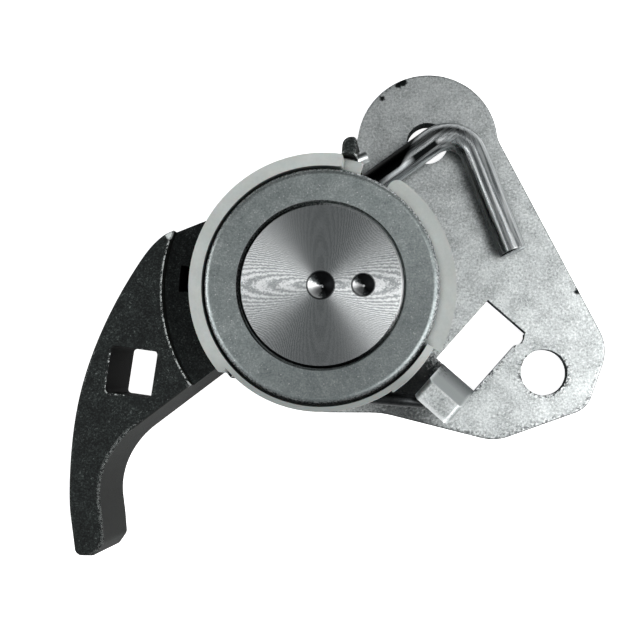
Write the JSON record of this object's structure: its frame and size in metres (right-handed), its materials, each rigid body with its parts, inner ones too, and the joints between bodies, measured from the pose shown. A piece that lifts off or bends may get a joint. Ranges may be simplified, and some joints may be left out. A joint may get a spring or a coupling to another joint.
{
  "type": "oil pump belt tensioner",
  "caption": "Spring-loaded belt tensioner: a curved pad arm turns on a stud riveted in a flat base plate, held off the belt by a bent lock pin.",
  "frame": {"origin": "on the pivot axis, at the back face of the base plate", "axes": "+Z along the pivot axis, away from the engine block; +X from the pivot towards the two fixing bolts; +Y along the plate's straight upper edge side"},
  "size_m": [0.112, 0.1043, 0.0273],
  "materials": {
    "zinc_steel": "mottled zinc plating on pressed steel",
    "turned_steel": "bare steel with turning marks",
    "ring_steel": "satin, plated",
    "spacer_steel": "bare, drawn tube",
    "bush_bronze": "sintered, oil-filled",
    "washer_plastic": "moulded nylon",
    "spring_steel": "oil-tempered wire",
    "arm_cast": "black coated sintered casting, worn at its edges",
    "sleeve_nylon": "moulded, natural white",
    "pin_steel": "polished drawn rod"
  },
  "bodies": {
    "base": {"base_plate": "zinc_steel", "pivot_stud": "turned_steel", "spacer_ring": "spacer_steel", "cap_ring": "ring_steel", "torsion_spring": "spring_steel"},
    "tension_arm": {"arm": "arm_cast", "bearing_bush": "bush_bronze", "thrust_washer": "washer_plastic", "spring_sleeve": "sleeve_nylon"},
    "lock_pin": {"lock_pin": "pin_steel"}
  },
  "joints": [
    {"name": "arm_pivot", "type": "hinge", "parent": "base", "child": "tension_arm", "pos_m": [0, 0, 0], "axis": [0, 0, 1], "range_deg": [0, 20], "stiffness_Nm_per_rad": 2, "springref_deg": -45.84, "deforming": ["torsion_spring"]},
    {"name": "pin_slide", "type": "slide", "parent": "base", "child": "lock_pin", "axis": [0.8131, 0.5821, 0], "range_m": [0, 0.025]}
  ]
}
